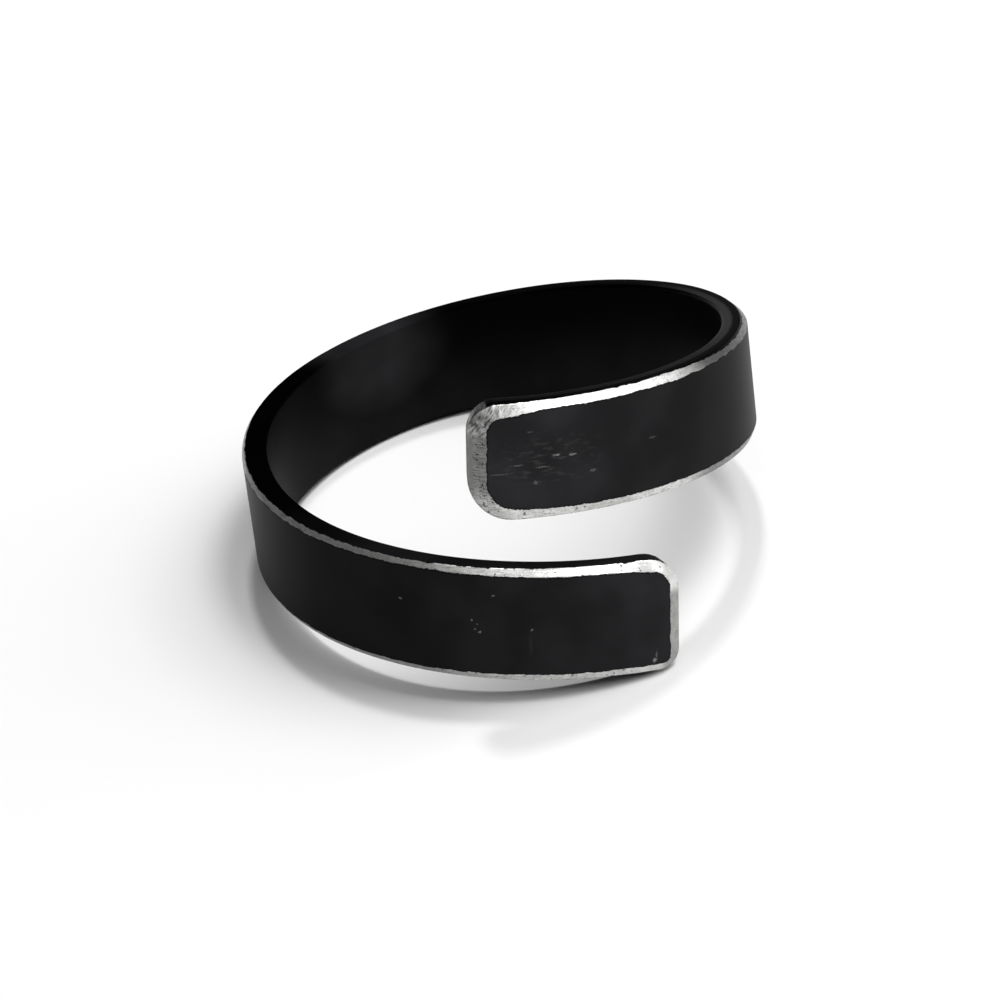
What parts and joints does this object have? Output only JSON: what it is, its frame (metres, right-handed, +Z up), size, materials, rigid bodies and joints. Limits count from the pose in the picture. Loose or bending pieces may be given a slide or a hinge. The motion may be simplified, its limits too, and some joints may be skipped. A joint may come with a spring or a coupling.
{
  "type": "band ring",
  "caption": "Open band ring of flat strip, wound past one turn so its rounded ends overlap with a gap, black outer face and bare filed edges.",
  "frame": {"origin": "on the table under the middle of the ring's box, as it lies on its lower edge", "axes": "+Z up from the table, the ring's own axis leans 10.7 degrees from it towards +Y, -Y is the front, where the two ends pass each other"},
  "size_m": [0.0204, 0.0228, 0.0119],
  "materials": {
    "strip": "satin black anodised faces, bare filed edges and ends"
  },
  "bodies": {
    "root": {"band": "strip"}
  },
  "joints": []
}
